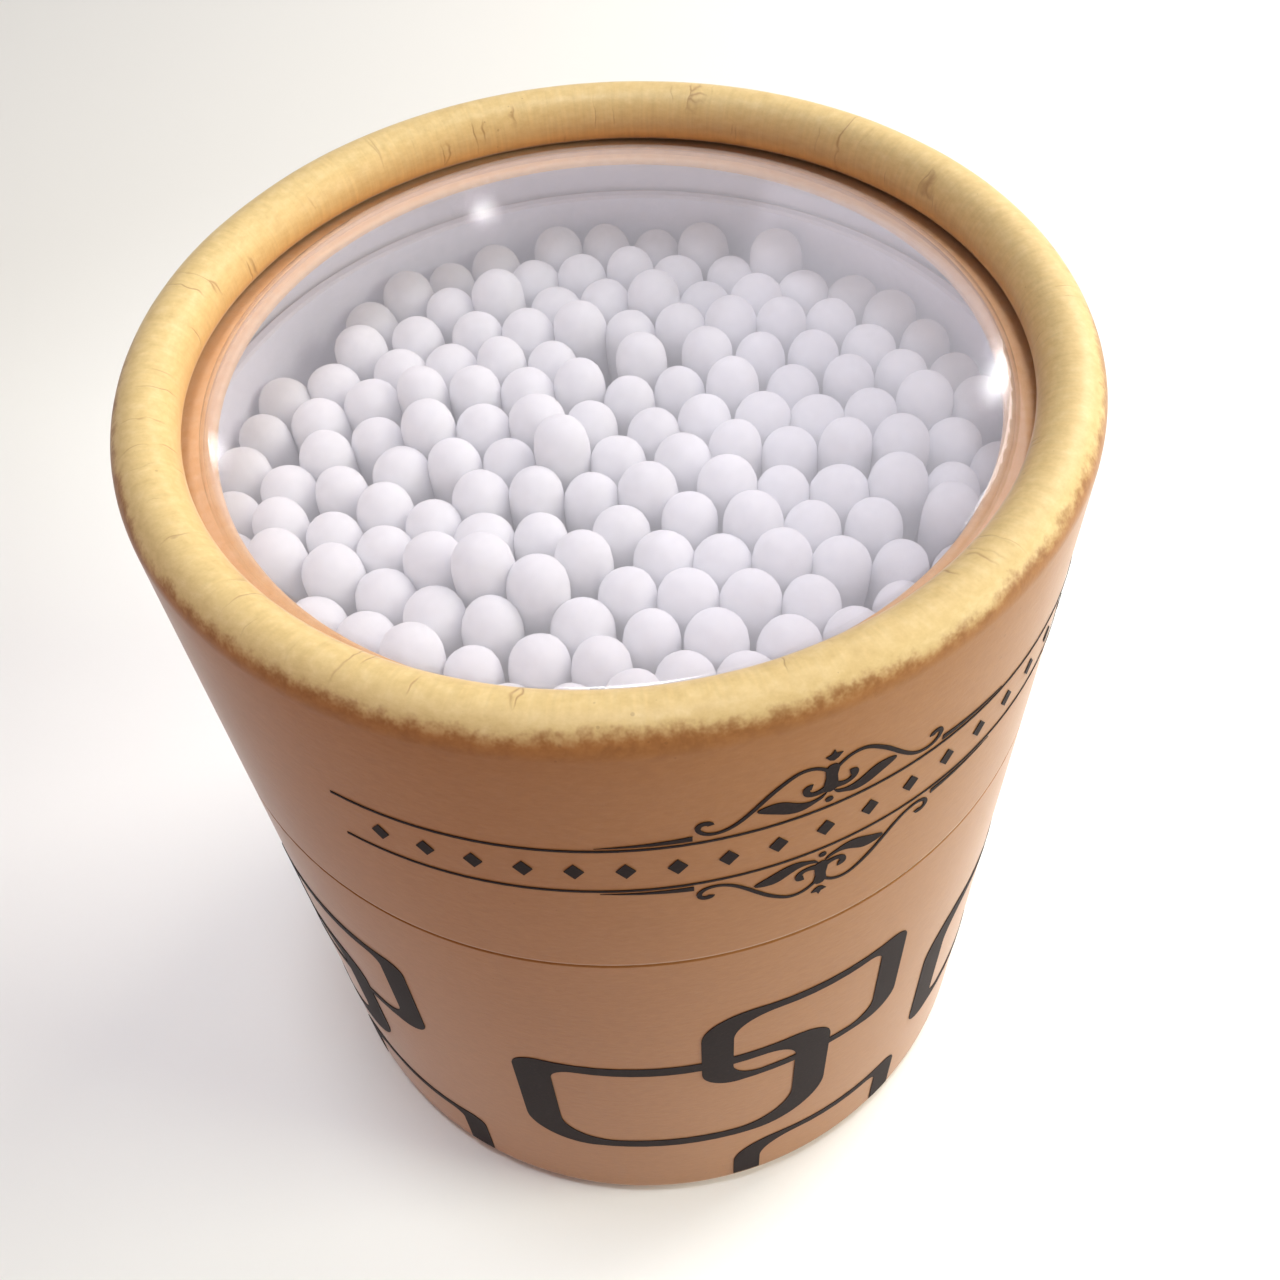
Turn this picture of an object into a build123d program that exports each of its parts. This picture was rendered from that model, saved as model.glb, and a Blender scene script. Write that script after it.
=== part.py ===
from build123d import *
import math
import os

import numpy as np

# A round kraft-board tub of cotton swabs with a lift-off lid.
#
# The tub is a board tube with its foot rolled inwards under a base disc. A neck tube is glued
# inside it and stands up past its top edge. The lid is a second board tube that slips over the
# neck and lands flush on the tub. Its top edge is rolled inwards onto a clear moulded window,
# which a board ring backs from below. The swabs stand on the base disc, a little twisted as a
# bundle. Ink is a thin layer just outside the board.
#
# Millimetres. +Z is up, -Y is the front, and the origin is under the middle of the foot.

# Tubes
tub_radius = 40.0
neck_headroom = 1.1  # from the highest swab up to the neck's top edge
lid_headroom = 6.6  # from the neck's top edge up to the window ring
neck_reach = 20.5  # how far the neck stands up past the body's top edge
lid_wall = 1.3
neck_wall = 1.3
slip_gap = 0.2  # radial, between the neck and the lid
glue_gap = 0.03  # radial, between pieces glued round each other
edge_break = 0.25  # worn corner of a cut board edge

# Rolled edges
roll_radius = 2.65
foot_press = 0.12  # how far the standing edge is pressed flat
base_recess = 4.0  # from the standing edge up to the base disc
base_thickness = 1.5

# Window
window_depth = 4.8  # from the top of the roll down to the window's flange
film_thickness = 0.3
step_height = 1.0
dome_rise = 1.2  # of the window's middle above its step
ring_width = 6.1
ring_cover = 1.2  # ring that shows through the window's step, round the hole
ring_thickness = 0.6
ring_edge_round = 0.4

# Swabs
swab_length = 73.0
stick_radius = 1.15
stick_cover = 1.6  # cotton beyond each end of the stick
head_radius = 2.45
head_length = 14.0
head_sides = 8
stick_sides = 6
swab_gap = 0.12  # between the widest parts of neighbours
floor_gap = 0.1
rise_limit = 1.6  # the most that one swab stands above the lowest
bundle_fill_share = 0.79  # of the tub's section that the widest parts of the heads fill
bundle_twist = 5.0  # degrees between the lower and the upper heads
stray_limit = 0.9  # how far an upper head strays from its place in the twisted bundle
bundle_seed = 11
settle_rounds = 900

# A head's outline from its neck to its tip, as shares of its length and of its radius
head_level_shares = (0.0, 0.75, 0.9, 1.0)
head_width_shares = (0.56, 1.0, 0.88, 0.45)
widest_share = 0.75  # where along the head neighbours come closest

# Ink
ink_lift = 0.03
ink_thickness = 0.05
cut_overrun = 5.0

# Interlocked links round the body, drawn as seen square on. A place is an azimuth in degrees and
# a height. Corners are shares of a link's height, clockwise from its upper left one.
link_turns = (0.0, 65.0, 139.0, 214.0, 288.0)  # degrees round the body, every other one flipped
link_pinch = 0.4  # how far the middles of the long edges are drawn in
large_link_size = (31.3, 22.9)
large_link_strokes = (3.6, 1.8)  # of its sides and of its long edges
large_link_corners = (0.12, 0.17, 0.32, 0.28)
large_link_place = (2.0, 27.2)
small_link_size = (21.4, 16.9)
small_link_strokes = (3.0, 1.4)
small_link_corners = (0.3, 0.11, 0.2, 0.2)
small_link_place = (21.2, 40.1)
low_link_place = (26.0, 3.9)

# Ruled band on the lid
band_azimuth = 20.0
band_half_angle = 54.0
band_rise = 15.95  # from the lid's lower edge up to the band's middle
band_gap = 5.9  # between its two rules
rule_width = 0.26
bead_pitch = 5.4  # degrees
bead_reach = 9  # beads each side of the middle one
bead_size = (1.5, 2.1)
bar_size = (7.0, 0.6)
bar_azimuth = 19.6  # from the band's middle to a bar's middle
bar_offset = 0.42  # from the rule to the bar

# Scrollwork on both rules, drawn as shares of the scroll's half width and of its height
scroll_width = 9.6
scroll_height = 7.2
scroll_offset = 0.42  # from the rule to the scroll
sweep_shares = (
    (0.034, 0.61), (0.097, 0.705), (0.19, 0.762), (0.27, 0.752), (0.364, 0.674), (0.468, 0.547),
    (0.5625, 0.40), (0.668, 0.236), (0.772, 0.116), (0.86, 0.07), (0.935, 0.076), (0.995, 0.135),
    (1.013, 0.215), (0.985, 0.275), (0.945, 0.28), (0.918, 0.24),
)
sweep_width_shares = (
    0.032, 0.032, 0.034, 0.036, 0.038, 0.040, 0.038, 0.036, 0.034, 0.034, 0.036, 0.038, 0.042, 0.046,
    0.050, 0.052,
)
arm_shares = (
    (0.02, 0.33), (0.07, 0.295), (0.13, 0.285), (0.19, 0.335), (0.197, 0.415), (0.155, 0.43),
)
arm_width_shares = (0.08, 0.065, 0.055, 0.055, 0.062, 0.070)
leaf_shares = (
    (0.03, 0.235), (0.085, 0.19), (0.15, 0.172), (0.24, 0.206), (0.333, 0.292), (0.43, 0.344),
    (0.575, 0.285), (0.469, 0.178), (0.302, 0.066), (0.205, 0.062), (0.104, 0.122), (0.045, 0.185),
)
core_shares = (
    (0.0, 0.22), (0.05, 0.25), (0.058, 0.38), (0.047, 0.50), (0.06, 0.64), (0.03, 0.70), (0.0, 0.71),
)
crown_shares = ((0.0, 0.955), (0.022, 0.885), (0.07, 0.868), (0.034, 0.80), (0.0, 0.775))
drop_height_share = 0.082
drop_radius_share = 0.034

# Sizes that follow
lid_bore = tub_radius - lid_wall
neck_radius = lid_bore - slip_gap
body_wall = tub_radius - neck_radius - glue_gap
neck_bore = neck_radius - neck_wall
floor_level = base_recess + base_thickness
swab_foot = floor_level + floor_gap
neck_top = swab_foot + swab_length + rise_limit + neck_headroom
body_height = neck_top - neck_reach
ring_top = neck_top + lid_headroom + ring_thickness
film_top = ring_top + film_thickness
lid_top = film_top + window_depth
lid_height = lid_top - body_height
window_radius = lid_bore - glue_gap
ring_hole_radius = window_radius - ring_width
step_radius = ring_hole_radius + ring_cover  # where the window's flange turns up
band_centre = body_height + band_rise
ink_radius = tub_radius + ink_lift


def rolled_tube(wall, length, seat_depth):
    """A tube that stands on z = 0, with its top edge rolled inwards until it meets a seat."""
    roll_x = tub_radius - roll_radius
    roll_z = length - roll_radius
    turn = 180 + math.degrees(math.asin((seat_depth - roll_radius) / roll_radius))
    end = Vector(1, 0).rotate(Axis.Z, turn)
    with BuildSketch(Plane.XZ) as section:
        with BuildLine():
            Polyline(
                (tub_radius - wall, roll_z),
                (tub_radius - wall, 0),
                (tub_radius - edge_break, 0),
                (tub_radius, edge_break),
                (tub_radius, roll_z),
            )
            CenterArc((roll_x, roll_z), roll_radius, 0, turn)
            Line(
                (roll_x + roll_radius * end.X, roll_z + roll_radius * end.Y),
                (roll_x + (roll_radius - wall) * end.X, roll_z + (roll_radius - wall) * end.Y),
            )
            CenterArc((roll_x, roll_z), roll_radius - wall, turn, -turn)
        make_face()
    return revolve(section.sketch, Axis.Z)


def disc(radius, bottom, top):
    return Pos(0, 0, bottom) * Cylinder(
        radius, top - bottom, align=(Align.CENTER, Align.CENTER, Align.MIN)
    )


def body_tube():
    tube = rolled_tube(body_wall, body_height + foot_press, base_recess + foot_press)
    tube = Pos(0, 0, body_height) * Rot(180, 0, 0) * tube
    return tube - disc(tub_radius + cut_overrun, -cut_overrun, 0)


def neck_tube():
    """A plain tube with the corners of its upper edge worn."""
    with BuildSketch(Plane.XZ) as section:
        with BuildLine():
            Polyline(
                (neck_bore, floor_level),
                (neck_radius, floor_level),
                (neck_radius, neck_top - edge_break),
                (neck_radius - edge_break, neck_top),
                (neck_bore + edge_break, neck_top),
                (neck_bore, neck_top - edge_break),
                close=True,
            )
        make_face()
    return revolve(section.sketch, Axis.Z)


def base_disc():
    return disc(neck_radius, base_recess, floor_level)


def lid_tube():
    return Pos(0, 0, body_height) * rolled_tube(lid_wall, lid_height, window_depth)


def window_ring():
    bottom = ring_top - ring_thickness
    ring = disc(window_radius, bottom, ring_top) - disc(ring_hole_radius, bottom, ring_top)
    hole_edges = ring.edges().filter_by(GeomType.CIRCLE).sort_by(SortBy.RADIUS)[:2]
    return fillet(hole_edges.sort_by(Axis.Z)[-1], ring_edge_round)


def window_film():
    """A clear moulded disc: a flange, a rounded step up and a shallow dome."""
    step_top = film_top + step_height
    shoulder = step_radius - step_height
    crown_top = step_top + dome_rise
    dome_radius = (shoulder**2 + dome_rise**2) / (2 * dome_rise)
    with BuildSketch(Plane.XZ) as section:
        with BuildLine():
            Polyline(
                (0, crown_top - film_thickness),
                (0, crown_top),
            )
            RadiusArc((0, crown_top), (shoulder, step_top), dome_radius)
            RadiusArc((shoulder, step_top), (step_radius, film_top), step_height)
            Polyline(
                (step_radius, film_top),
                (window_radius, film_top),
                (window_radius, film_top - film_thickness),
                (step_radius - film_thickness, film_top - film_thickness),
            )
            RadiusArc(
                (step_radius - film_thickness, film_top - film_thickness),
                (shoulder, step_top - film_thickness),
                -step_height,
            )
            RadiusArc(
                (shoulder, step_top - film_thickness),
                (0, crown_top - film_thickness),
                -dome_radius,
            )
        make_face()
    return revolve(section.sketch, Axis.Z)


def faceted_spindle(sides, levels, radii):
    """A solid of flat faces between regular polygons, one at each level."""
    angles = [math.tau * side / sides for side in range(sides)]
    rings = [
        [Vector(radius * math.cos(a), radius * math.sin(a), level) for a in angles]
        for level, radius in zip(levels, radii)
    ]
    faces = [Face(Wire.make_polygon(rings[0])), Face(Wire.make_polygon(rings[-1]))]
    for low, high in zip(rings, rings[1:]):
        for side in range(sides):
            after = (side + 1) % sides
            corners = [low[side], low[after], high[after], high[side]]
            faces.append(Face(Wire.make_polygon(corners)))
    return Solid(Shell(faces))


def settle(places, pitch, reach):
    """Moves points apart until they lie a pitch or more from each other, within a circle."""
    itself = np.eye(len(places), dtype=bool)
    for _ in range(settle_rounds):
        apart = places[:, None, :] - places[None, :, :]
        distance = np.hypot(apart[..., 0], apart[..., 1])
        distance[itself] = pitch
        push = np.clip(pitch - distance, 0, None) / (2 * distance)
        places = places + (apart * push[..., None]).sum(axis=1)
        from_axis = np.hypot(places[:, 0], places[:, 1])
        places = places * np.minimum(1, reach / from_axis)[:, None]
    return places


def swab_frames():
    """Where each swab stands: a location at the tip of its lower head, with Z along the swab."""
    random = np.random.default_rng(bundle_seed)
    pitch = 2 * head_radius + swab_gap
    reach = neck_bore - pitch / 2
    count = int(bundle_fill_share * (neck_bore / (pitch / 2)) ** 2)
    angles = random.uniform(0, math.tau, count)
    radii = reach * np.sqrt(random.uniform(0, 1, count))
    scattered = np.column_stack((radii * np.cos(angles), radii * np.sin(angles)))
    low_places = settle(scattered, pitch, reach)

    twist = math.radians(bundle_twist)
    turned = low_places @ np.array(
        [[math.cos(twist), math.sin(twist)], [-math.sin(twist), math.cos(twist)]]
    )
    strays = random.uniform(-stray_limit, stray_limit, turned.shape)
    high_places = settle(turned + strays, pitch, reach)

    rises = rise_limit * random.uniform(0, 1, count) ** 2
    tip_reach = (1 - widest_share) * head_length
    span = swab_length - 2 * tip_reach
    frames = []
    for low, high, rise in zip(low_places, high_places, rises):
        drift = Vector(high[0] - low[0], high[1] - low[1])
        along = drift + Vector(0, 0, math.sqrt(span**2 - drift.length**2))
        direction = along.normalized()
        middle = Vector(low[0], low[1], swab_foot + rise + tip_reach)
        frames.append(Plane(middle - direction * tip_reach, z_dir=direction).location)
    return frames


def swab_sticks(frames):
    stick = faceted_spindle(
        stick_sides, (stick_cover, swab_length - stick_cover), (stick_radius, stick_radius)
    )
    return Compound(children=[stick.moved(frame) for frame in frames])


def swab_heads(frames, upper):
    levels = [head_length * share for share in head_level_shares]
    radii = [head_radius * share for share in head_width_shares]
    if upper:
        levels = [swab_length - head_length + level for level in levels]
    else:
        levels = [head_length - level for level in reversed(levels)]
        radii = radii[::-1]
    head = faceted_spindle(head_sides, levels, radii)
    return Compound(children=[head.moved(frame) for frame in frames])


def ink_on_wall(drawing, azimuth, height):
    """Ink in the shape of a drawing, as it looks square on, at a place on the tub's wall."""
    out = Vector(0, -1, 0).rotate(Axis.Z, azimuth)
    right = Vector(1, 0, 0).rotate(Axis.Z, azimuth)
    wall = Plane(out * tub_radius / 2 + Vector(0, 0, height), x_dir=right, z_dir=out)
    size = drawing.bounding_box()
    bottom = height + size.min.Y - cut_overrun
    top = height + size.max.Y + cut_overrun
    layer = disc(ink_radius + ink_thickness, bottom, top) - disc(ink_radius, bottom, top)
    return extrude(wall * drawing, tub_radius) & layer


def solids_of(shapes):
    return [solid for shape in shapes for solid in shape.solids()]


def frame_outline(x, y, pinch, corners):
    """A rounded frame's outline from its half sizes, with its long edges drawn in."""
    with BuildSketch() as drawing:
        with BuildLine():
            ThreePointArc((-x, y), (0, y - pinch), (x, y))
            Line((x, y), (x, -y))
            ThreePointArc((x, -y), (0, pinch - y), (-x, -y))
            Line((-x, -y), (-x, y))
        make_face()
        for spot, share in zip(((-x, y), (x, y), (x, -y), (-x, -y)), corners):
            fillet(drawing.vertices().sort_by_distance(spot)[0], 2 * y * share)
    return drawing.sketch


def link(size, strokes, corners, flipped):
    """A link with thick sides and thin long edges."""
    x = size[0] / 2
    y = size[1] / 2
    outer = frame_outline(x, y, link_pinch, corners)
    inner = frame_outline(x - strokes[0], y - strokes[1], link_pinch, corners)
    drawing = outer - inner
    return mirror(drawing, Plane.XZ) if flipped else drawing


def link_group(flipped):
    """Two links through each other and a third low down, or the same upside down."""
    middle = large_link_place[1]
    marks = []
    for size, strokes, corners, (azimuth, height) in (
        (large_link_size, large_link_strokes, large_link_corners, large_link_place),
        (small_link_size, small_link_strokes, small_link_corners, small_link_place),
        (small_link_size, small_link_strokes, small_link_corners, low_link_place),
    ):
        level = 2 * middle - height if flipped else height
        marks.append(ink_on_wall(link(size, strokes, corners, flipped), azimuth, level))
    foot = disc(tub_radius + cut_overrun, -tub_radius, roll_radius)
    large, small, low = marks
    return solids_of([large + small + (low - foot)])


def body_print():
    groups = (link_group(False), link_group(True))
    return Compound(
        children=[
            Rot(0, 0, turn) * solid
            for place, turn in enumerate(link_turns)
            for solid in groups[place % len(groups)]
        ]
    )


def brush_stroke(spots, widths):
    """A face along a curve through the spots, as wide at each as its width says."""
    curve = Spline(*spots)
    left = []
    right = []
    for spot, width in zip(spots, widths):
        side = curve.tangent_at(curve.param_at_point(spot)).rotate(Axis.Z, 90) * width / 2
        left.append(Vector(*spot) + side)
        right.append(Vector(*spot) - side)
    return make_face(
        [
            Spline(*left),
            Line(left[-1], right[-1]),
            Spline(*reversed(right)),
            Line(right[0], left[0]),
        ]
    )


def on_scroll(shares):
    return [(scroll_width * x, scroll_height * y) for x, y in shares]


def scroll_drawing():
    """The right half of the scroll, and its mirror image."""
    sweep_widths = [scroll_width * share for share in sweep_width_shares]
    arm_widths = [scroll_width * share for share in arm_width_shares]
    leaf = on_scroll(leaf_shares)
    half = [
        brush_stroke(on_scroll(sweep_shares), sweep_widths),
        brush_stroke(on_scroll(arm_shares), arm_widths),
        make_face([Spline(*leaf, periodic=True)]),
        make_face([Polyline(*on_scroll(core_shares), close=True)]),
        make_face([Polyline(*on_scroll(crown_shares), close=True)]),
    ]
    drop = Pos(0, scroll_height * drop_height_share) * Circle(scroll_width * drop_radius_share)
    right_half = Sketch() + half
    return right_half + mirror(right_half, Plane.YZ) + drop


def band_rule(height):
    """One thin rule round part of the lid."""
    section = Plane.XZ * Pos(ink_radius + ink_thickness / 2, height) * Rectangle(
        ink_thickness, rule_width
    )
    arc = revolve(section, Axis.Z, 2 * band_half_angle)
    return Rot(0, 0, band_azimuth - band_half_angle - 90) * arc


def lid_print():
    bead_x = bead_size[0] / 2
    bead_y = bead_size[1] / 2
    bead = make_face(Polyline((0, -bead_y), (bead_x, 0), (0, bead_y), (-bead_x, 0), close=True))
    bar_x = bar_size[0] / 2
    right_bar = make_face(Polyline((-bar_x, 0), (bar_x, 0), (-bar_x, bar_size[1]), close=True))
    left_bar = mirror(right_bar, Plane.YZ)
    scroll = scroll_drawing()
    marks = [
        ink_on_wall(bead, band_azimuth + turn * bead_pitch, band_centre)
        for turn in range(-bead_reach, bead_reach + 1)
    ]
    for side in (1, -1):
        rule = band_centre + side * band_gap / 2
        marks.append(band_rule(rule))
        for drawing, turn, offset in (
            (scroll, 0, scroll_offset),
            (right_bar, bar_azimuth, bar_offset),
            (left_bar, -bar_azimuth, bar_offset),
        ):
            outward = drawing if side > 0 else mirror(drawing, Plane.XZ)
            marks.append(ink_on_wall(outward, band_azimuth + turn, rule + side * offset))
    return Compound(children=solids_of(marks))


def main():
    frames = swab_frames()
    pieces = {
        "body_tube": body_tube(),
        "neck_tube": neck_tube(),
        "base_disc": base_disc(),
        "body_print": body_print(),
        "swab_sticks": swab_sticks(frames),
        "swab_tips_lower": swab_heads(frames, upper=False),
        "swab_tips_upper": swab_heads(frames, upper=True),
        "lid_tube": lid_tube(),
        "window_ring": window_ring(),
        "window_film": window_film(),
        "lid_print": lid_print(),
    }
    os.makedirs("parts", exist_ok=True)
    for name, piece in pieces.items():
        export_step(piece, f"parts/{name}.step")


main()
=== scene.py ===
import math
import random

import bmesh
import bpy
from mathutils import Matrix, Vector, noise


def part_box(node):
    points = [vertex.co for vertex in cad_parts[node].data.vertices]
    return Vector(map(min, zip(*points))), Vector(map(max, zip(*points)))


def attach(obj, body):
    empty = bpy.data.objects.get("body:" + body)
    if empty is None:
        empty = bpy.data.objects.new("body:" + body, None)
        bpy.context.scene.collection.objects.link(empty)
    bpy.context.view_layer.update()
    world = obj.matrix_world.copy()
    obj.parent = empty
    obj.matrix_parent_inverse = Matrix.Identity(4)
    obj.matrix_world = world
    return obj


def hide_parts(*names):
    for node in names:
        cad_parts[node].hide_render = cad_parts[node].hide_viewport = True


# The dressed model of a kraft-board tub of cotton swabs. Sizes are in millimetres until a mesh
# is finished, which scales it to metres.

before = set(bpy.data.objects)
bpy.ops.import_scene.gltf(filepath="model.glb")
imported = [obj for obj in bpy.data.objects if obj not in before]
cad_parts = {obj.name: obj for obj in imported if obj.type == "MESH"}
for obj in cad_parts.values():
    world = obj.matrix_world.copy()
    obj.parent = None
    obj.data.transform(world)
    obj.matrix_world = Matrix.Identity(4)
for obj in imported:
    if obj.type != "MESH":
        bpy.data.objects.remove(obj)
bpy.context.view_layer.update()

MM = 0.001
MERGE_REACH = 0.001  # between vertices that are one
SURFACE_REACH = 0.05  # from a surface to what counts as lying on it

# Places and sizes read from the frame
lid_low, lid_high = (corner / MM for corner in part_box("lid_tube"))
TUB_RADIUS = (lid_high.x - lid_low.x) / 2
SEAM_LEVEL = lid_low.z
LID_TOP = lid_high.z
NECK_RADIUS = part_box("neck_tube")[1].x / MM

# Board of the lid and the neck
BOARD_WALL = 1.3
LID_BORE = TUB_RADIUS - BOARD_WALL
NECK_BORE = NECK_RADIUS - BOARD_WALL
EDGE_BREAK = 0.25  # of the lid's lower edge
LINING_DEPTH = 0.3  # of the white paper that shows on a cut edge

# The rolled rim of the lid
ROLL_RADIUS = 2.65
ROLL_TURN = 234.2  # degrees from the outside, over the top and down to the window
RIM_SEGMENTS = 480
WALL_STEPS = 8
ROLL_STEPS = 30
CURL_STEPS = 12  # on the roll's inner side
BORE_STEPS = 3
WAVE_DEPTH = 0.10
WAVE_LENGTH = 9.0

# Heights on the lid's paper laid flat, counted from a line 8 mm under the roll's widest line. Each
# pair is where a change begins and where it is complete. The print's end and the end of the dark
# spots follow a ragged edge, which lies up to 3.4 higher.
ORIGIN_BELOW_ROLL = 8.0
PRINT_END = (7.3, 8.8)
SPOTS_START = (7.2, 9.6)
SPOTS_END = (8.9, 7.6)
# Where the underside of the roll is painted orange as shade
CREASES_START = (10.2, 12.6)
RECESS_SHADE_START = (13.6, 17.6)

# The window's film
DOME_RADIUS = 33.8  # inside the flange
FLANGE_LIFT = 0.04  # off the ring
DOME_HAZE = 0.14
FLANGE_HAZE = 0.01
FACING_GLOSS = 0.035
GRAZING_GLOSS = 0.6  # added to it at grazing

# Cotton heads
HEAD_RADIUS = 3.0
HEAD_SIZES = (0.9, 1.03)  # the least and the greatest share of that radius
NECK_WIDTH = 0.5  # where a head meets its stick, as a share of its radius
HEAD_SIDES = 10
HEAD_LEVELS = (1.0, 0.985, 0.945, 0.87, 0.72, 0.42, 0.12, 0.0)  # from the tip, of its length
WIDEST_SHARE = 0.81  # of a head's length, from its neck
HEAD_CORNERS = 8  # of each level of a head in the frame
HEAD_CLEARANCE = 0.08  # from the neck's white lining
LUMP_DEPTH = 0.25
LUMP_SIZE = 2.6
LUMP_FIELD = 40  # each way in the noise, where a head takes its own lumps from
PROUD_SHARE = 0.1  # of the swabs, which stand up past the rest
PROUD_RISE = (0.8, 2.3)
SWAB_SEED = 5

# The camera, as fitted to the photograph
CAMERA_PLACE = (1.145, -87.513, 163.166)
CAMERA_ELEVATION = 51.53  # degrees, as is the roll
CAMERA_ROLL = -4.29
CAMERA_LENS = 37.91
CAMERA_NEAR = 5.0  # nothing closer is drawn
SENSOR_WIDTH = 36.0

# The studio, in metres
FLOOR_SIZE = 3.0
SPOT_SOFTNESS = 0.12
SPOT_ANGLE = 17  # degrees, so that it lights the swabs and misses the walls
SPOT_BLEND = 0.6


def linear(hex_colour):
    """A linear RGBA colour from an sRGB hex value."""
    channels = [int(hex_colour[i : i + 2], 16) / 255 for i in (1, 3, 5)]
    return [c / 12.92 if c <= 0.04045 else ((c + 0.055) / 1.055) ** 2.4 for c in channels] + [1]


def add_node(tree, kind, inputs=None, out=0, stops=None, **settings):
    """Adds a node and gives one of its outputs. An input is a value, a hex colour or an output
    to link from. Stops are the (position, hex colour) pairs of a colour ramp."""
    made = tree.nodes.new(kind)
    for name, value in settings.items():
        setattr(made, name, value)
    for name, value in (inputs or {}).items():
        if isinstance(value, bpy.types.NodeSocket):
            tree.links.new(value, made.inputs[name])
        else:
            made.inputs[name].default_value = linear(value) if isinstance(value, str) else value
    for index, (position, colour) in enumerate(stops or ()):
        elements = made.color_ramp.elements
        element = elements[index] if index < 2 else elements.new(position)
        element.position = position
        element.color = linear(colour)
    return made.outputs[out] if made.outputs else None


def new_material(name):
    """An empty material, its node tree, and the place on the object in millimetres."""
    material = bpy.data.materials.new(name)
    material.use_nodes = True
    tree = material.node_tree
    tree.nodes.clear()
    place = add_node(tree, "ShaderNodeTexCoord", out="Object")
    place = add_node(
        tree, "ShaderNodeVectorMath", {0: place, "Scale": 1 / MM}, operation="SCALE"
    )
    return material, tree, place


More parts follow.
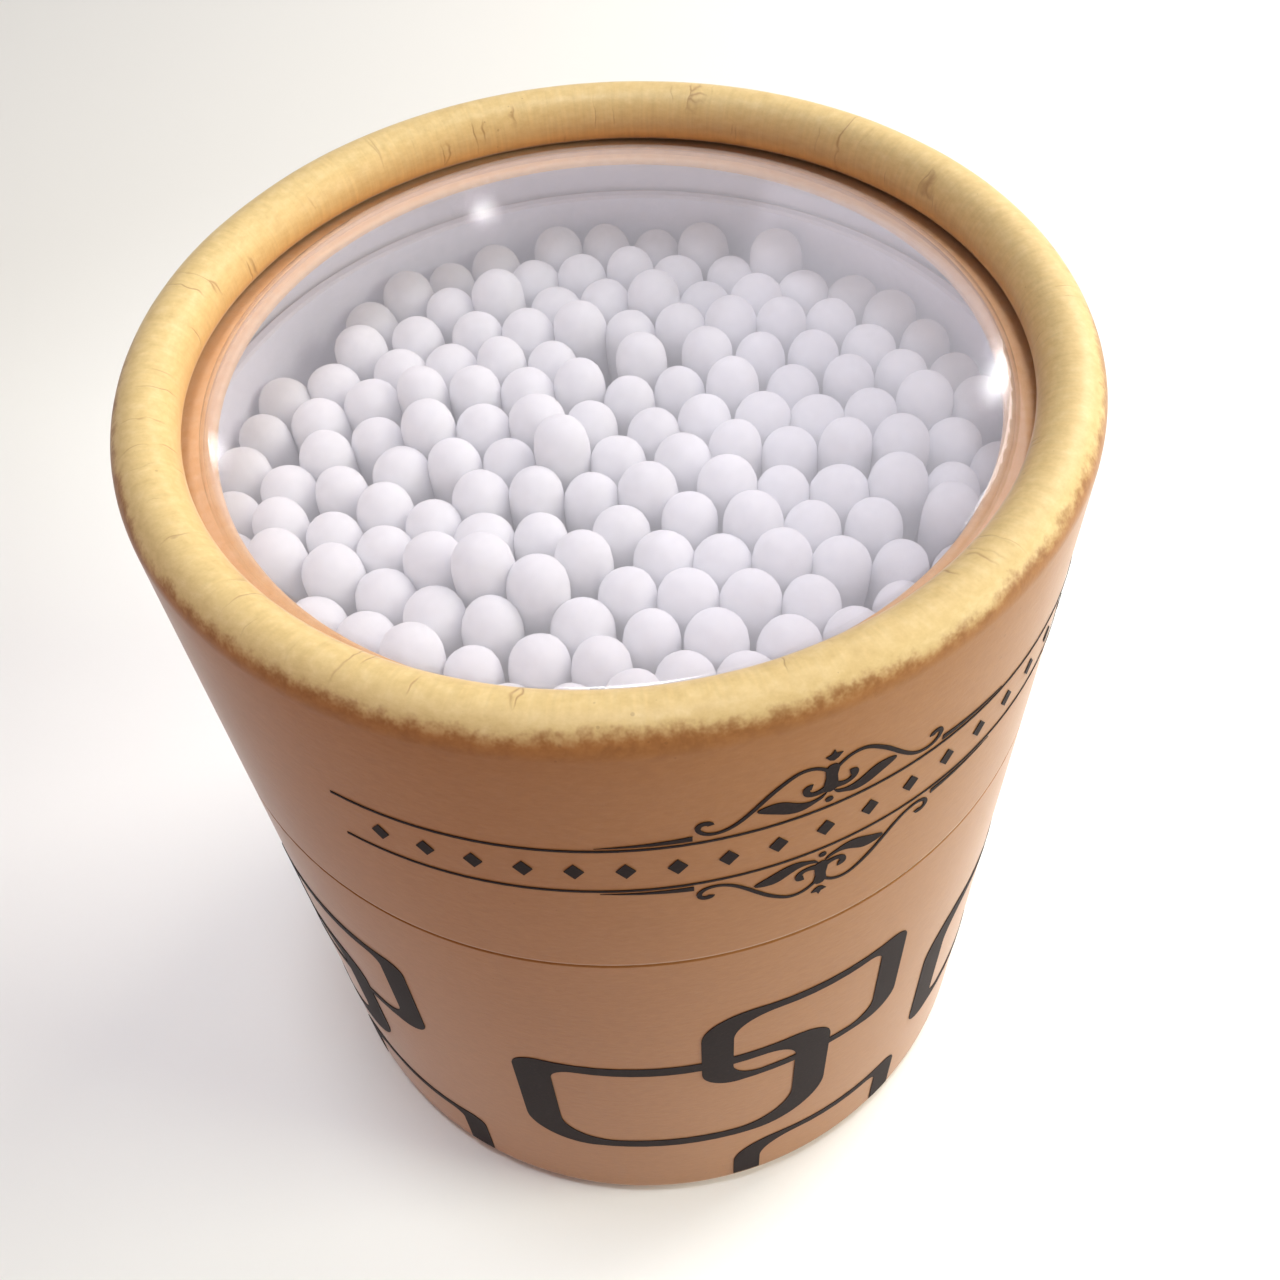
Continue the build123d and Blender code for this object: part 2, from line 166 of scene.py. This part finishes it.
def kraft_board():
    """Kraft paper over spiral-wound board: unbleached pulp, matte, with long fibres that fleck it
    light and dark. The wall is printed a redder brown, the rolled rim is bare and pale, and hot
    curling left it creased and torn at the edge of the print, which is darker brown in spots
    there. The creases are painted darker, and the underside of the curl a darker orange, as
    painted shade."""
    material, tree, place = new_material("kraft_board")

    # Fibres 1.1 mm long and 0.5 mm wide that lie round the tub, over a grain of 0.25 mm.
    # Real fibres are about a tenth of that width.
    lying = add_node(tree, "ShaderNodeMapping", {"Vector": place, "Scale": (1, 1, 2.2)})
    fibres = add_node(
        tree, "ShaderNodeTexNoise",
        {"Vector": lying, "Scale": 1 / 1.1, "Detail": 3.0, "Roughness": 0.65},
    )
    grain = add_node(
        tree, "ShaderNodeTexNoise", {"Vector": place, "Scale": 1 / 0.25, "Detail": 1.0}
    )
    clouds = add_node(
        tree, "ShaderNodeTexNoise", {"Vector": place, "Scale": 1 / 15, "Detail": 1.0}
    )
    wall = add_node(
        tree, "ShaderNodeValToRGB", {"Fac": fibres},
        stops=((0.28, "#99663a"), (0.52, "#9e6b3d"), (0.76, "#a37041")),
    )
    pale_wall = add_node(
        tree, "ShaderNodeValToRGB", {"Fac": fibres},
        stops=((0.28, "#9e6b3d"), (0.76, "#a67345")),
    )
    wall = add_node(
        tree, "ShaderNodeMix", {0: clouds, 6: wall, 7: pale_wall}, out=2, data_type="RGBA"
    )
    rim = add_node(
        tree, "ShaderNodeValToRGB", {"Fac": fibres},
        stops=((0.28, "#c2a673"), (0.52, "#cbb07d"), (0.76, "#d2b989")),
    )

    # The roll's surface laid flat: X and Y turn round the tub, and Z runs up and over the roll.
    flat = add_node(tree, "ShaderNodeAttribute", out="Vector", attribute_name="unrolled")
    height = add_node(tree, "ShaderNodeSeparateXYZ", {0: flat}, out="Z")
    ragged = add_node(
        tree, "ShaderNodeTexNoise",
        {"Vector": place, "Scale": 1 / 1.5, "Detail": 3.0, "Roughness": 0.75},
    )
    broad = add_node(
        tree, "ShaderNodeTexNoise", {"Vector": place, "Scale": 1 / 11, "Detail": 1.0}
    )
    edge = add_node(
        tree, "ShaderNodeMath", {0: ragged, 1: -1.8, 2: height}, operation="MULTIPLY_ADD"
    )
    edge = add_node(
        tree, "ShaderNodeMath", {0: broad, 1: -1.6, 2: edge}, operation="MULTIPLY_ADD"
    )

    # The print ends near the roll's widest line. The bare paper above it is pale, and turns orange
    # where it curls down under the roll to the window: that orange is painted shade in the recess
    # under the curl.
    bare = add_node(
        tree, "ShaderNodeMapRange",
        {"Value": edge, "From Min": PRINT_END[0], "From Max": PRINT_END[1]},
        interpolation_type="SMOOTHSTEP",
    )
    painted_recess_shade = add_node(
        tree, "ShaderNodeMapRange",
        {"Value": height, "From Min": RECESS_SHADE_START[0], "From Max": RECESS_SHADE_START[1], "To Max": 0.75},
    )
    rim = add_node(
        tree, "ShaderNodeMix", {0: painted_recess_shade, 6: rim, 7: "#cf9656"}, out=2, data_type="RGBA"
    )
    colour = add_node(
        tree, "ShaderNodeMix", {0: bare, 6: wall, 7: rim}, out=2, data_type="RGBA"
    )

    # The edge of the print is darker brown in spots.
    spots_in = add_node(
        tree, "ShaderNodeMapRange",
        {"Value": height, "From Min": SPOTS_START[0], "From Max": SPOTS_START[1]},
        interpolation_type="SMOOTHSTEP",
    )
    spots_out = add_node(
        tree, "ShaderNodeMapRange",
        {"Value": edge, "From Min": SPOTS_END[0], "From Max": SPOTS_END[1]},
        interpolation_type="SMOOTHSTEP",
    )
    mottle = add_node(
        tree, "ShaderNodeMapRange",
        {"Value": ragged, "From Min": 0.42, "From Max": 0.62, "To Min": 0.05, "To Max": 0.5},
    )
    edge_spots = add_node(tree, "ShaderNodeMath", {0: spots_in, 1: spots_out}, operation="MULTIPLY")
    edge_spots = add_node(tree, "ShaderNodeMath", {0: edge_spots, 1: mottle}, operation="MULTIPLY")
    colour = add_node(
        tree, "ShaderNodeMix", {0: edge_spots, 6: colour, 7: "#7c512f"}, out=2, data_type="RGBA"
    )

    # Creases across the roll, 3.2 mm apart, where the paper was gathered in. They are
    # thin, broken and uneven.
    wander = add_node(
        tree, "ShaderNodeTexNoise", {"Vector": place, "Scale": 1 / 1.6, "Detail": 1.0}, out="Color"
    )
    bent = add_node(
        tree, "ShaderNodeVectorMath", {0: wander, 1: (0.9, 0.9, 0.9), 2: flat},
        operation="MULTIPLY_ADD",
    )
    gathered = add_node(
        tree, "ShaderNodeMapping", {"Vector": bent, "Scale": (1 / 3.2, 1 / 3.2, 1 / 40)}
    )
    crease_gap = add_node(
        tree, "ShaderNodeTexVoronoi", {"Vector": gathered, "Scale": 1.0},
        feature="DISTANCE_TO_EDGE",
    )
    crease = add_node(
        tree, "ShaderNodeMapRange", {"Value": crease_gap, "From Min": 0.03, "From Max": 0.0}
    )
    shown = add_node(
        tree, "ShaderNodeTexNoise", {"Vector": place, "Scale": 1 / 4.3, "Detail": 1.0}
    )
    shown = add_node(
        tree, "ShaderNodeMapRange", {"Value": shown, "From Min": 0.54, "From Max": 0.66}
    )
    on_roll = add_node(
        tree, "ShaderNodeMapRange",
        {"Value": height, "From Min": CREASES_START[0], "From Max": CREASES_START[1]},
    )
    crease = add_node(tree, "ShaderNodeMath", {0: crease, 1: shown}, operation="MULTIPLY")
    crease = add_node(tree, "ShaderNodeMath", {0: crease, 1: on_roll}, operation="MULTIPLY")
    # The creases are also painted darker brown: painted shade in their folds.
    crease_painted_shade = add_node(tree, "ShaderNodeMath", {0: crease, 1: 0.55}, operation="MULTIPLY")
    colour = add_node(
        tree, "ShaderNodeMix", {0: crease_painted_shade, 6: colour, 7: "#7b4e2c"}, out=2, data_type="RGBA"
    )

    # Fibres drawn out across the roll, 4 mm long and 0.4 mm wide, ten times the real
    # width, and bark specks up to 0.3 mm across.
    drawn = add_node(
        tree, "ShaderNodeMapping", {"Vector": flat, "Scale": (1 / 0.4, 1 / 0.4, 1 / 4)}
    )
    drawn = add_node(
        tree, "ShaderNodeTexNoise",
        {"Vector": drawn, "Scale": 1.0, "Detail": 1.0, "Roughness": 0.55},
    )
    drawn = add_node(
        tree, "ShaderNodeMapRange",
        {"Value": drawn, "From Min": 0.3, "From Max": 0.72, "To Min": 0.94, "To Max": 1.03},
    )
    drawn = add_node(tree, "ShaderNodeMix", {0: on_roll, 2: 1.0, 3: drawn})
    colour = add_node(
        tree, "ShaderNodeVectorMath", {0: colour, "Scale": drawn}, operation="SCALE"
    )
    specks = add_node(
        tree, "ShaderNodeTexVoronoi", {"Vector": place, "Scale": 1 / 1.3}, out="Distance"
    )
    speck_size = add_node(
        tree, "ShaderNodeMapRange",
        {"Value": broad, "From Min": 0.52, "From Max": 0.75, "To Max": 0.12},
    )
    specks = add_node(tree, "ShaderNodeMath", {0: specks, 1: speck_size}, operation="LESS_THAN")
    specks = add_node(tree, "ShaderNodeMath", {0: specks, 1: 0.25}, operation="MULTIPLY")
    colour = add_node(
        tree, "ShaderNodeMix", {0: specks, 6: colour, 7: "#5d3a22"}, out=2, data_type="RGBA"
    )

    relief = add_node(
        tree, "ShaderNodeMath", {0: grain, 1: 0.5, 2: fibres}, operation="MULTIPLY_ADD"
    )
    relief = add_node(
        tree, "ShaderNodeMath", {0: crease, 1: -2.5, 2: relief}, operation="MULTIPLY_ADD"
    )
    torn = add_node(tree, "ShaderNodeMath", {0: edge_spots, 1: ragged}, operation="MULTIPLY")
    relief = add_node(
        tree, "ShaderNodeMath", {0: torn, 1: 1.6, 2: relief}, operation="MULTIPLY_ADD"
    )
    bump = add_node(
        tree, "ShaderNodeBump", {"Height": relief, "Strength": 0.3, "Distance": 0.04 * MM}
    )
    shader = add_node(
        tree, "ShaderNodeBsdfPrincipled",
        {
            "Base Color": colour,
            "Roughness": 0.42,
            "IOR": 1.47,
            "Specular IOR Level": 0.2,
            "Sheen Weight": 0.3,
            "Sheen Roughness": 0.25,
            "Normal": bump,
        },
    )
    add_node(tree, "ShaderNodeOutputMaterial", {"Surface": shader})
    return material


def ring_board():
    """Kraft board under a smooth calendered face: warm brown, with a slight gloss."""
    material, tree, place = new_material("ring_board")
    # Fibres 0.9 mm across, over twenty times the real ones, so that they show.
    fibres = add_node(
        tree, "ShaderNodeTexNoise",
        {"Vector": place, "Scale": 1 / 0.9, "Detail": 5.0, "Roughness": 0.6},
    )
    colour = add_node(
        tree, "ShaderNodeValToRGB", {"Fac": fibres}, stops=((0.3, "#ebb880"), (0.72, "#f2c897"))
    )
    bump = add_node(
        tree, "ShaderNodeBump", {"Height": fibres, "Strength": 0.2, "Distance": 0.03 * MM}
    )
    shader = add_node(
        tree, "ShaderNodeBsdfPrincipled",
        {"Base Color": colour, "Roughness": 0.48, "IOR": 1.47, "Normal": bump},
    )
    add_node(tree, "ShaderNodeOutputMaterial", {"Surface": shader})
    return material


def lined_board(name, paper_radius):
    """Board lined with bleached paper, white and matte, out to a radius, with brown board
    outside it."""
    material, tree, place = new_material(name)
    level = add_node(
        tree, "ShaderNodeVectorMath", {0: place, 1: (1, 1, 0)}, operation="MULTIPLY"
    )
    radius = add_node(tree, "ShaderNodeVectorMath", {0: level}, out="Value", operation="LENGTH")
    outside = add_node(
        tree, "ShaderNodeMath", {0: radius, 1: paper_radius}, operation="GREATER_THAN"
    )
    # Fibres 0.8 mm across, about twenty times the real ones, so that they show.
    fibres = add_node(
        tree, "ShaderNodeTexNoise",
        {"Vector": place, "Scale": 1 / 0.8, "Detail": 5.0, "Roughness": 0.6},
    )
    white = add_node(
        tree, "ShaderNodeValToRGB", {"Fac": fibres}, stops=((0.3, "#eae8ef"), (0.72, "#f2f0f6"))
    )
    brown = add_node(
        tree, "ShaderNodeValToRGB", {"Fac": fibres}, stops=((0.3, "#a9835d"), (0.72, "#b9946c"))
    )
    colour = add_node(
        tree, "ShaderNodeMix", {0: outside, 6: white, 7: brown}, out=2, data_type="RGBA"
    )
    bump = add_node(
        tree, "ShaderNodeBump", {"Height": fibres, "Strength": 0.2, "Distance": 0.03 * MM}
    )
    shader = add_node(
        tree, "ShaderNodeBsdfPrincipled",
        {"Base Color": colour, "Roughness": 0.6, "IOR": 1.47, "Normal": bump},
    )
    add_node(tree, "ShaderNodeOutputMaterial", {"Surface": shader})
    return material


def printing_ink():
    """Flexographic ink on kraft: a flat dark brown that thins over the paper's high fibres."""
    material, tree, place = new_material("printing_ink")
    # High fibres 0.35 mm across, about ten times the real ones.
    thin = add_node(
        tree, "ShaderNodeTexNoise",
        {"Vector": place, "Scale": 1 / 0.35, "Detail": 4.0, "Roughness": 0.65},
    )
    colour = add_node(
        tree, "ShaderNodeValToRGB", {"Fac": thin},
        stops=((0.3, "#1c1314"), (0.6, "#241819"), (0.85, "#3a2925")),
    )
    bump = add_node(
        tree, "ShaderNodeBump", {"Height": thin, "Strength": 0.3, "Distance": 0.03 * MM}
    )
    shader = add_node(
        tree, "ShaderNodeBsdfPrincipled",
        {
            "Base Color": colour,
            "Roughness": 0.6,
            "IOR": 1.45,
            "Specular IOR Level": 0.1,
            "Normal": bump,
        },
    )
    add_node(tree, "ShaderNodeOutputMaterial", {"Surface": shader})
    return material


def wound_cotton():
    """Bleached cotton wound round the stick: white, very matte, with fine matted fibres and
    light that soaks in and evens out the shade between the heads."""
    material, tree, place = new_material("wound_cotton")
    # Matted fibres 0.3 mm across, fifteen times the real ones.
    fibres = add_node(
        tree, "ShaderNodeTexNoise",
        {"Vector": place, "Scale": 1 / 0.31, "Detail": 3.0, "Roughness": 0.5},
    )
    tufts = add_node(
        tree, "ShaderNodeTexNoise", {"Vector": place, "Scale": 1 / 1.1, "Detail": 3.0}
    )
    colour = add_node(
        tree, "ShaderNodeValToRGB", {"Fac": tufts}, stops=((0.3, "#f4f4f7"), (0.7, "#fbfbfd"))
    )
    relief = add_node(
        tree, "ShaderNodeMath", {0: tufts, 1: 1.5, 2: fibres}, operation="MULTIPLY_ADD"
    )
    bump = add_node(
        tree, "ShaderNodeBump", {"Height": relief, "Strength": 0.2, "Distance": 0.03 * MM}
    )
    shader = add_node(
        tree, "ShaderNodeBsdfPrincipled",
        {
            "Base Color": colour,
            "Roughness": 0.95,
            "IOR": 1.4,
            "Specular IOR Level": 0.2,
            "Subsurface Weight": 0.9,
            "Subsurface Radius": (3.0 * MM, 3.0 * MM, 3.1 * MM),
            "Subsurface Scale": 1.0,
            "Sheen Weight": 0.3,
            "Normal": bump,
        },
    )
    add_node(tree, "ShaderNodeOutputMaterial", {"Surface": shader})
    return material


def paper_stick():
    """Tightly rolled white paper, smooth and matte, with fine lengthwise fibres."""
    material, tree, place = new_material("paper_stick")
    # Fibres 2 mm long and 0.4 mm wide, about ten times the real width.
    drawn = add_node(tree, "ShaderNodeMapping", {"Vector": place, "Scale": (1, 1, 0.2)})
    fibres = add_node(
        tree, "ShaderNodeTexNoise", {"Vector": drawn, "Scale": 1 / 0.4, "Detail": 3.0}
    )
    colour = add_node(
        tree, "ShaderNodeValToRGB", {"Fac": fibres}, stops=((0.3, "#dfdde2"), (0.7, "#ecebee"))
    )
    shader = add_node(
        tree, "ShaderNodeBsdfPrincipled", {"Base Color": colour, "Roughness": 0.7, "IOR": 1.47}
    )
    add_node(tree, "ShaderNodeOutputMaterial", {"Surface": shader})
    return material


def clear_film():
    """Clear thermoformed PET: it passes nearly all light, with a faint milky haze and a sharp
    gloss that grows towards grazing."""
    material, tree, place = new_material("clear_film")
    clear = add_node(tree, "ShaderNodeBsdfTransparent", {"Color": "#fbfafc"})
    haze = add_node(tree, "ShaderNodeBsdfDiffuse", {"Color": "#e3e0ea"})
    gloss = add_node(tree, "ShaderNodeBsdfGlossy", {"Roughness": 0.09})
    facing = add_node(tree, "ShaderNodeLayerWeight", {"Blend": 0.5}, out="Facing")
    grazing = add_node(tree, "ShaderNodeMath", {0: facing, 1: 4.0}, operation="POWER")
    share = add_node(
        tree, "ShaderNodeMath", {0: grazing, 1: GRAZING_GLOSS, 2: FACING_GLOSS},
        operation="MULTIPLY_ADD",
    )
    # The flange is glued down and looks clear. The dome is a little milky.
    level = add_node(
        tree, "ShaderNodeVectorMath", {0: place, 1: (1, 1, 0)}, operation="MULTIPLY"
    )
    radius = add_node(tree, "ShaderNodeVectorMath", {0: level}, out="Value", operation="LENGTH")
    veil = add_node(
        tree, "ShaderNodeMapRange",
        {
            "Value": radius,
            "From Min": DOME_RADIUS - 1,
            "From Max": DOME_RADIUS,
            "To Min": DOME_HAZE,
            "To Max": FLANGE_HAZE,
        },
    )
    veiled = add_node(tree, "ShaderNodeMixShader", {0: veil, 1: clear, 2: haze})
    shader = add_node(tree, "ShaderNodeMixShader", {0: share, 1: veiled, 2: gloss})
    add_node(tree, "ShaderNodeOutputMaterial", {"Surface": shader})
    return material


def finish_piece(name, shape, *materials):
    """Turns a bmesh in millimetres into an object in metres."""
    bmesh.ops.scale(shape, vec=(MM, MM, MM), verts=shape.verts)
    mesh = bpy.data.meshes.new(name)
    shape.to_mesh(mesh)
    shape.free()
    mesh.shade_smooth()
    for material in materials:
        mesh.materials.append(material)
    piece = bpy.data.objects.new(name, mesh)
    bpy.context.collection.objects.link(piece)
    return piece


def spun_arc(shape, start, centre, degrees, steps):
    """Adds an arc in the XZ plane to a bmesh by turning a vertex, and gives its last vertex."""
    turned = bmesh.ops.spin(
        shape,
        geom=[start],
        cent=centre,
        axis=(0, -1, 0),
        angle=math.radians(degrees),
        steps=steps,
    )
    return next(v for v in turned["geom_last"] if isinstance(v, bmesh.types.BMVert))


def run_to(shape, start, end, steps=1):
    """Adds a straight run of edges to a bmesh from a vertex to a place."""
    first = start.co.copy()
    last = start
    for step in range(1, steps + 1):
        vert = shape.verts.new(first.lerp(Vector(end), step / steps))
        shape.edges.new((last, vert))
        last = vert
    return last


def lid_shell(board, lining):
    """The lid's tube with its rolled rim, a little uneven where the paper was gathered in."""
    roll_x = TUB_RADIUS - ROLL_RADIUS
    roll_z = LID_TOP - ROLL_RADIUS
    centre = (roll_x, 0, roll_z)
    shape = bmesh.new()
    start = shape.verts.new((TUB_RADIUS - EDGE_BREAK, 0, SEAM_LEVEL))
    outer = run_to(shape, start, (TUB_RADIUS, 0, SEAM_LEVEL + EDGE_BREAK))
    outer = run_to(shape, outer, (TUB_RADIUS, 0, SEAM_LEVEL + 2 * EDGE_BREAK))
    outer = run_to(shape, outer, (TUB_RADIUS, 0, roll_z), WALL_STEPS)
    end = spun_arc(shape, outer, centre, ROLL_TURN, ROLL_STEPS)
    to_centre = (Vector(centre) - end.co).normalized()
    inner = run_to(shape, end, end.co + to_centre * BOARD_WALL)
    inner = spun_arc(shape, inner, centre, -ROLL_TURN, CURL_STEPS)
    inner = run_to(shape, inner, (LID_BORE, 0, SEAM_LEVEL), BORE_STEPS)
    shape.edges.new((inner, start))
    bmesh.ops.spin(
        shape,
        geom=shape.verts[:] + shape.edges[:],
        cent=(0, 0, 0),
        axis=(0, 0, 1),
        angle=math.tau,
        steps=RIM_SEGMENTS,
        use_merge=True,
    )
    bmesh.ops.remove_doubles(shape, verts=shape.verts, dist=MERGE_REACH)
    bmesh.ops.recalc_face_normals(shape, faces=shape.faces)
    for face in shape.faces:
        middle = face.calc_center_median()
        from_bore = abs(middle.xy.length - LID_BORE)
        on_bore = from_bore < SURFACE_REACH and middle.z < roll_z
        face.material_index = int(on_bore)
    # Where each vertex lies on the paper laid flat, which the kraft board reads
    unrolled = shape.verts.layers.float_vector.new("unrolled")
    for vert in shape.verts:
        out = Vector((vert.co.x, vert.co.y, 0)).normalized()
        from_roll = vert.co - out * roll_x - Vector((0, 0, roll_z))
        from_wall = abs(vert.co.xy.length - TUB_RADIUS)
        if from_wall < EDGE_BREAK + SURFACE_REACH and vert.co.z < roll_z:
            height = max(0.0, vert.co.z - roll_z + ORIGIN_BELOW_ROLL)
        elif abs(from_roll.length - ROLL_RADIUS) < SURFACE_REACH:
            along = math.atan2(from_roll.z, from_roll.dot(out)) % math.tau
            height = ORIGIN_BELOW_ROLL + along * ROLL_RADIUS
            wave = noise.noise(out * TUB_RADIUS / WAVE_LENGTH) * max(0.0, math.sin(along))
            vert.co -= from_roll.normalized() * max(0.0, WAVE_DEPTH * wave)
        else:
            height = ORIGIN_BELOW_ROLL + ROLL_RADIUS * math.radians(ROLL_TURN)
        vert[unrolled] = out * TUB_RADIUS + Vector((0, 0, height))
    piece = finish_piece("lid_shell", shape, board, lining)
    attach(piece, "lid")
    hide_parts("lid_tube")


def swab_spots(node):
    """The lowest and the highest middle of each cotton head in a CAD node, in millimetres."""
    shape = bmesh.new()
    shape.from_mesh(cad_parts[node].data)
    bmesh.ops.scale(shape, vec=(1 / MM, 1 / MM, 1 / MM), verts=shape.verts)
    bmesh.ops.remove_doubles(shape, verts=shape.verts, dist=MERGE_REACH)
    unseen = set(shape.verts)
    spots = []
    while unseen:
        group = []
        front = [unseen.pop()]
        while front:
            vert = front.pop()
            group.append(vert.co.copy())
            beside = [edge.other_vert(vert) for edge in vert.link_edges]
            front += [v for v in beside if v in unseen]
            unseen.difference_update(beside)
        group.sort(key=lambda place: place.z)
        low = sum(group[:HEAD_CORNERS], Vector()) / HEAD_CORNERS
        high = sum(group[-HEAD_CORNERS:], Vector()) / HEAD_CORNERS
        spots.append((low, high))
    shape.free()
    return sorted(spots, key=lambda spot: tuple(spot[0]))


def head_width(share):
    """A head's width at a share of its length from the neck, as a share of its full width."""
    if share > WIDEST_SHARE:
        past = (share - WIDEST_SHARE) / (1 - WIDEST_SHARE)
        return math.sqrt(max(0.0, 1 - past**2))
    return NECK_WIDTH + (1 - NECK_WIDTH) * math.sin(math.pi / 2 * share / WIDEST_SHARE)


def cotton_heads(name, node, up, cotton):
    """Soft heads on the swabs of a CAD node, each an egg with its own lumps."""
    draw = random.Random(SWAB_SEED)
    shape = bmesh.new()
    for low, high in swab_spots(node):
        neck, tip = (low, high) if up else (high, low)
        along = (tip - neck).normalized()
        length = (tip - neck).length
        turn = along.to_track_quat("Z", "Y").to_matrix().to_4x4()
        turn = turn @ Matrix.Rotation(draw.uniform(0, math.tau), 4, "Z")
        radius = HEAD_RADIUS * draw.uniform(*HEAD_SIZES)
        offset = Vector([draw.uniform(-LUMP_FIELD, LUMP_FIELD) for _ in range(3)])
        proud = draw.uniform(*PROUD_RISE) if up and draw.random() < PROUD_SHARE else 0
        neck = neck + along * proud
        made = bmesh.ops.create_uvsphere(
            shape, u_segments=HEAD_SIDES, v_segments=len(HEAD_LEVELS) - 1, radius=1
        )
        for vert in made["verts"]:
            from_tip = math.acos(max(-1.0, min(1.0, vert.co.z))) / math.pi
            share = HEAD_LEVELS[round(from_tip * (len(HEAD_LEVELS) - 1))]
            at_pole = vert.co.xy.length < MERGE_REACH
            flat = Vector((0, 0)) if at_pole else vert.co.xy.normalized()
            width = radius * head_width(share)
            spot = Vector((flat.x * width, flat.y * width, share * length))
            lump = LUMP_DEPTH * noise.noise(spot / LUMP_SIZE + offset)
            spot += Vector((flat.x, flat.y, 0)) * lump
            vert.co = neck + turn @ spot
            beyond = vert.co.xy.length / (NECK_BORE - HEAD_CLEARANCE)
            if beyond > 1:
                vert.co.xy /= beyond
    bmesh.ops.recalc_face_normals(shape, faces=shape.faces)
    piece = finish_piece(name, shape, cotton)
    smooth = piece.modifiers.new("smooth", "SUBSURF")
    smooth.levels = 1
    smooth.render_levels = 1
    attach(piece, "tub")
    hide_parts(node)


def dress(node, material):
    """Gives a CAD node its material."""
    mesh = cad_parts[node].data
    mesh.materials.clear()
    mesh.materials.append(material)


def clear_window(film):
    """The window as in the CAD, with the underside of its flange a hair off the ring that it is
    glued to, because two faces in one place render in patches."""
    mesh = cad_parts["window_film"].data.copy()
    mesh.materials.clear()
    mesh.materials.append(film)
    ring_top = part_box("window_ring")[1].z
    for vert in mesh.vertices:
        if abs(vert.co.z - ring_top) < FLANGE_LIFT * MM:
            vert.co.z = ring_top + FLANGE_LIFT * MM
    piece = bpy.data.objects.new("clear_window", mesh)
    bpy.context.collection.objects.link(piece)
    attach(piece, "lid")
    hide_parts("window_film")


def studio():
    """A pale floor, a pale surround and soft lights."""
    bpy.ops.mesh.primitive_plane_add(size=FLOOR_SIZE, location=(0, 0, 0))
    floor = bpy.context.object
    floor.name = "floor"
    material, tree, _ = new_material("floor_paint")
    shader = add_node(tree, "ShaderNodeBsdfDiffuse", {"Color": "#f7f6f5"})
    add_node(tree, "ShaderNodeOutputMaterial", {"Surface": shader})
    floor.data.materials.append(material)

    world = bpy.data.worlds.new("surround")
    world.use_nodes = True
    world.node_tree.nodes.clear()
    sky = add_node(
        world.node_tree, "ShaderNodeBackground", {"Color": "#f4f3f6", "Strength": 0.27}
    )
    add_node(world.node_tree, "ShaderNodeOutputWorld", {"Surface": sky})
    bpy.context.scene.world = world
    bpy.context.scene.view_settings.view_transform = "Standard"

    # The three glints are the small lamps that the dome mirrors as bright spots.
    for name, spot, size, watts, colour in (
        ("ceiling", (0.0, 0.05, 0.66), (0.30, 0.26), 0.3, "#fffaf4"),
        ("back_right_window", (0.42, 0.30, 0.42), (0.30, 0.30), 3.0, "#fffaf0"),
        ("right_card", (0.48, -0.11, 0.26), (0.20, 0.30), 2.2, "#f7fce8"),
        ("warm_left_card", (-0.30, -0.42, 0.14), (0.30, 0.20), 0.45, "#e8935c"),
        ("back_card", (0.19, 0.45, 0.56), (0.28, 0.46), 0.5, "#f0eefc"),
        ("right_glint", (0.262, 0.460, 0.478), (0.008, 0.055), 0.06, "#ffffff"),
        ("left_glint", (-0.275, 0.445, 0.492), (0.004, 0.02), 0.012, "#ffffff"),
        ("back_glint", (-0.083, 0.60, 0.39), (0.011, 0.004), 0.008, "#ffffff"),
        ("top_spot", (0.0, 0.01, 0.64), None, 19.0, "#f5f9ff"),
    ):
        lamp = bpy.data.lights.new(name, "AREA" if size else "SPOT")
        if size:
            lamp.shape = "RECTANGLE"
            lamp.size, lamp.size_y = size
        else:
            lamp.shadow_soft_size = SPOT_SOFTNESS
            lamp.spot_size = math.radians(SPOT_ANGLE)
            lamp.spot_blend = SPOT_BLEND
        lamp.energy = watts
        lamp.color = linear(colour)[:3]
        light = bpy.data.objects.new(name, lamp)
        light.location = spot
        aim = Vector((0, 0, SEAM_LEVEL * MM)) - Vector(spot)
        light.rotation_euler = aim.to_track_quat("-Z", "Y").to_euler()
        bpy.context.collection.objects.link(light)


def photo_camera():
    """A camera that sees the tub as the photograph does."""
    camera = bpy.data.objects.new("camera", bpy.data.cameras.new("camera"))
    tilt = Matrix.Rotation(math.radians(90 - CAMERA_ELEVATION), 4, "X")
    roll = Matrix.Rotation(math.radians(CAMERA_ROLL), 4, "Z")
    camera.matrix_world = Matrix.Translation(Vector(CAMERA_PLACE) * MM) @ tilt @ roll
    camera.data.lens = CAMERA_LENS
    camera.data.sensor_width = SENSOR_WIDTH
    camera.data.clip_start = CAMERA_NEAR * MM
    bpy.context.collection.objects.link(camera)
    bpy.context.scene.camera = camera


photo_camera()
studio()

kraft = kraft_board()
cotton = wound_cotton()
ink = printing_ink()

lid_shell(kraft, lined_board("lid_lining", LID_BORE + LINING_DEPTH))
cotton_heads("cotton_upper", "swab_tips_upper", True, cotton)
cotton_heads("cotton_lower", "swab_tips_lower", False, cotton)

dress("body_tube", kraft)
dress("base_disc", kraft)
dress("neck_tube", lined_board("neck_board", NECK_RADIUS - LINING_DEPTH))
dress("window_ring", ring_board())
clear_window(clear_film())
dress("swab_sticks", paper_stick())
dress("body_print", ink)
dress("lid_print", ink)
